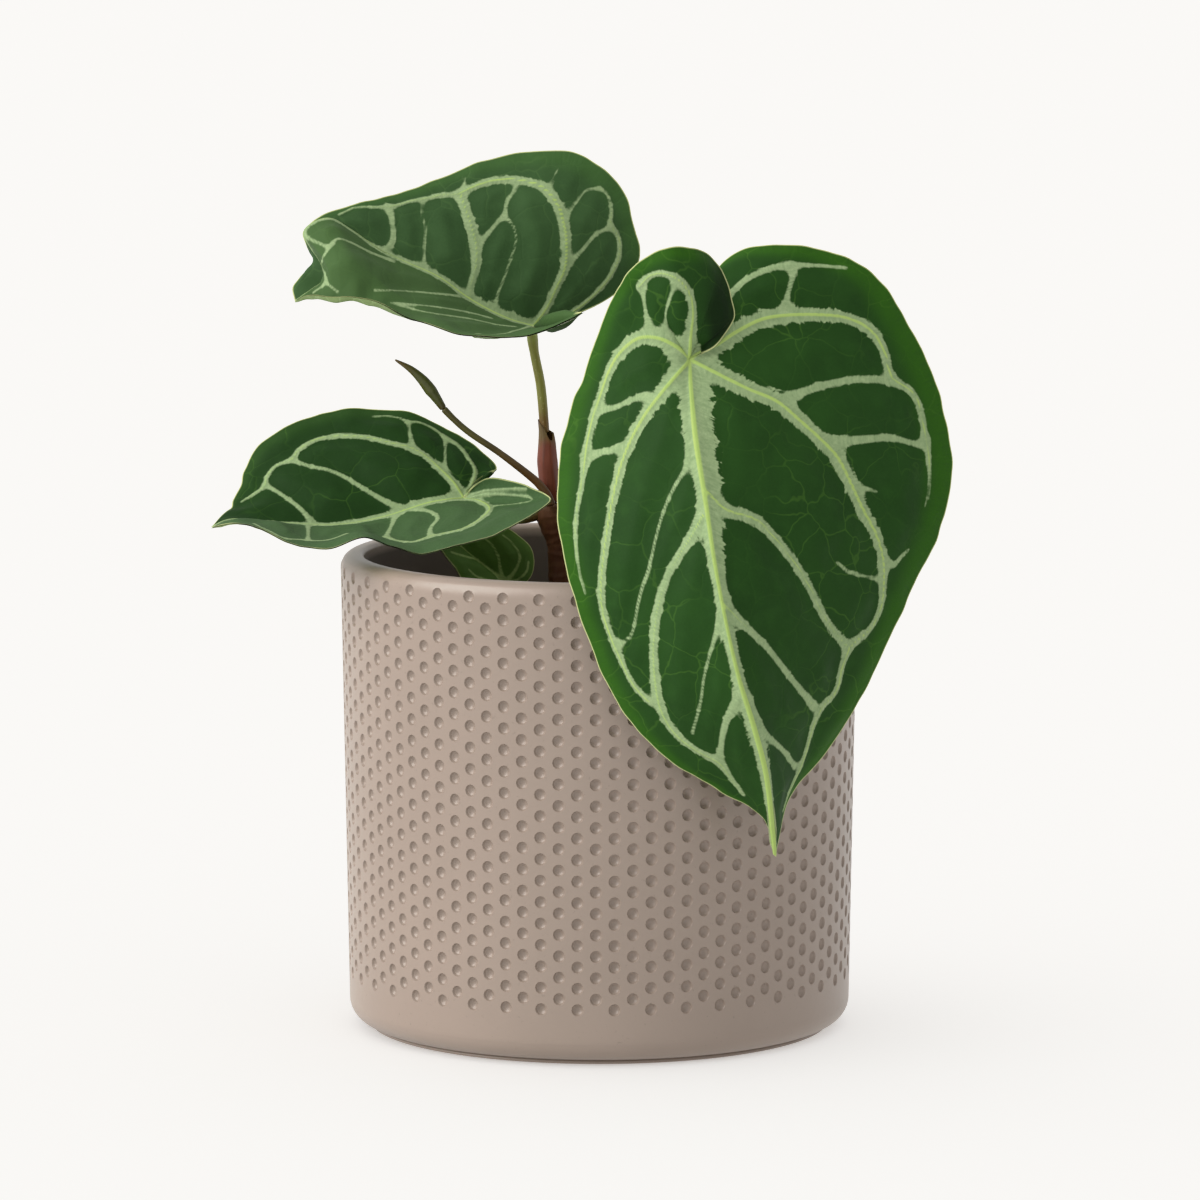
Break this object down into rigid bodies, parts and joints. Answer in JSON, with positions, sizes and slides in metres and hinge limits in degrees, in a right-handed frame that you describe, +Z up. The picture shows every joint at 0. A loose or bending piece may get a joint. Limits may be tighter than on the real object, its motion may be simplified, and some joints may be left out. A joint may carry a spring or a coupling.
{
  "type": "potted anthurium crystallinum",
  "caption": "Velvet-leaved aroid house plant with heart-shaped, silver-veined blades and a furled flower bud, in a round ceramic pot pressed with rows of small hollows.",
  "frame": {"origin": "centre of the pot's flat underside", "axes": "+Z up along the pot's axis; the front, where the large leaf hangs, faces -Y; +X to the right seen from the front"},
  "size_m": [0.2114, 0.1795, 0.2532],
  "materials": {
    "ceramic": "matte speckle-free taupe glaze over pressed round hollows",
    "potting_mix": "rough dark bark mix",
    "stem_bark": "reddish brown, slightly glossy",
    "sheath": "reddish brown papery sheath",
    "petiole": "smooth yellow-green stalk",
    "leaf": "dark velvet green with pale silvery veins",
    "flower_stalk": "brown-green stalk",
    "flower_bud": "olive green furled spathe"
  },
  "bodies": {
    "root": {"pot": "ceramic", "soil": "potting_mix", "stem": "stem_bark", "sheath": "sheath", "petiole_large": "petiole", "petiole_upper": "petiole", "petiole_lower": "petiole", "petiole_small": "petiole", "leaf_large": "leaf", "leaf_upper": "leaf", "leaf_lower": "leaf", "leaf_small": "leaf", "flower_stalk": "flower_stalk", "flower_bud": "flower_bud"}
  },
  "joints": []
}
